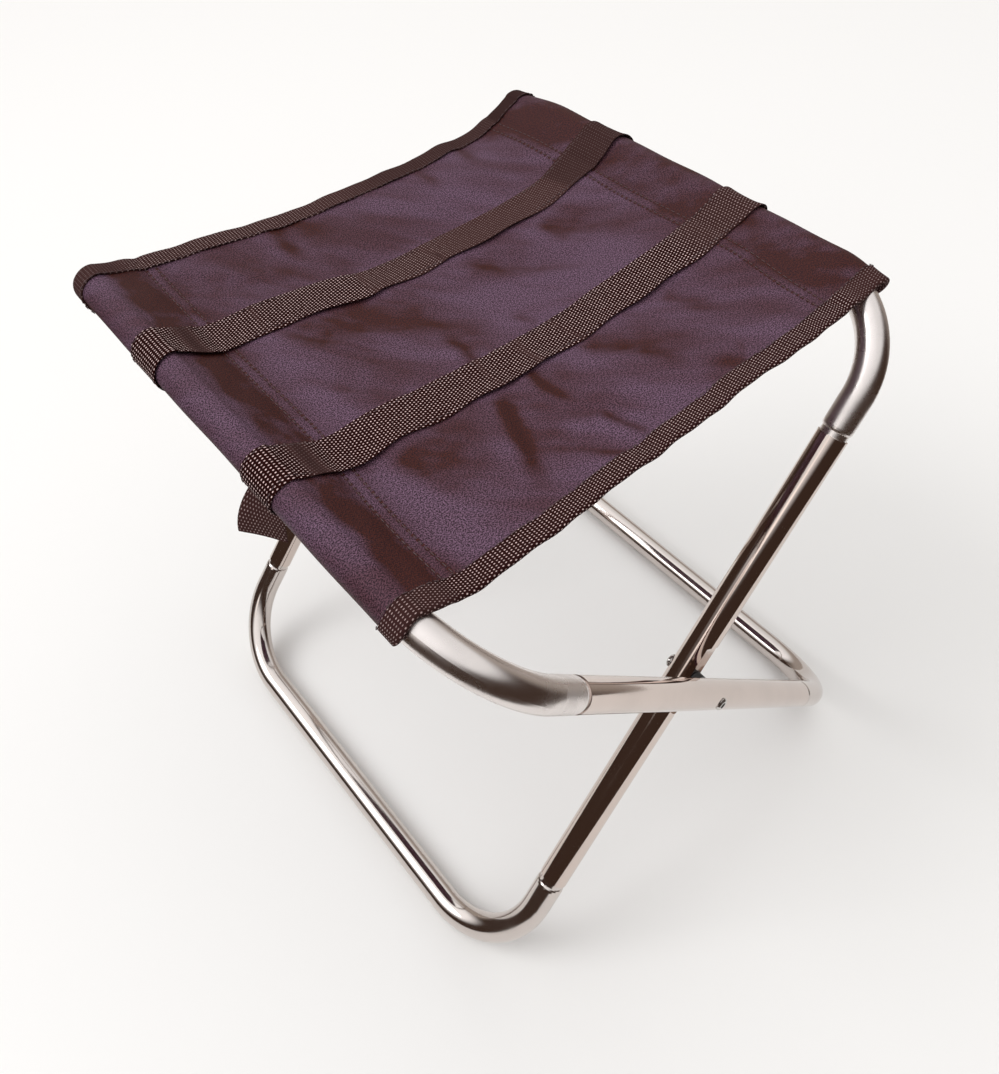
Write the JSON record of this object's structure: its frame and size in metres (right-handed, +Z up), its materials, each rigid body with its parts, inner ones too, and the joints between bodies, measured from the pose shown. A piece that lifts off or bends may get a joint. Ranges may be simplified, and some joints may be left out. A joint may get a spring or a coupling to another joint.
{
  "type": "camp stool",
  "caption": "Low folding camp stool with crossed tubular steel frames on riveted pivots and a dark woven seat sewn round the upper rails, with webbing straps and bound edges",
  "frame": {"origin": "on the floor, below the middle of the stool's box", "axes": "X from the outer frame's seat rail to the inner frame's seat rail, Y along the rails and the pivot axis away from the picture's viewer, Z up"},
  "size_m": [0.3079, 0.3478, 0.3513],
  "materials": {
    "leg_steel": "mirror-polished steel tube",
    "rail_steel": "polished steel tube, slightly satin at the bends",
    "rivet_steel": "plain steel rivet with a hollow head",
    "spacer_nylon": "black nylon",
    "seat_fabric": "coated Oxford weave, dark violet grey",
    "webbing": "woven webbing, black brown with light picks"
  },
  "bodies": {
    "outer_frame": {"outer_top_rail": "rail_steel", "outer_foot_rail": "rail_steel", "outer_leg_near": "leg_steel", "outer_leg_far": "leg_steel", "pivot_rivet_near": "rivet_steel", "pivot_rivet_far": "rivet_steel", "pivot_spacer_near": "spacer_nylon", "pivot_spacer_far": "spacer_nylon", "seat_cloth": "seat_fabric", "strap_front": "webbing", "strap_rear": "webbing", "binding_front": "webbing", "binding_rear": "webbing", "strap_tail": "webbing"},
    "inner_frame": {"inner_top_rail": "rail_steel", "inner_foot_rail": "rail_steel", "inner_leg_near": "leg_steel", "inner_leg_far": "leg_steel"}
  },
  "joints": [
    {"name": "fold", "type": "hinge", "parent": "outer_frame", "child": "inner_frame", "pos_m": [0, 0, 0.174], "axis": [0, -1, 0], "range_deg": [0, 70], "deforming": ["seat_cloth", "strap_front", "strap_rear", "binding_front", "binding_rear", "strap_tail"]}
  ]
}
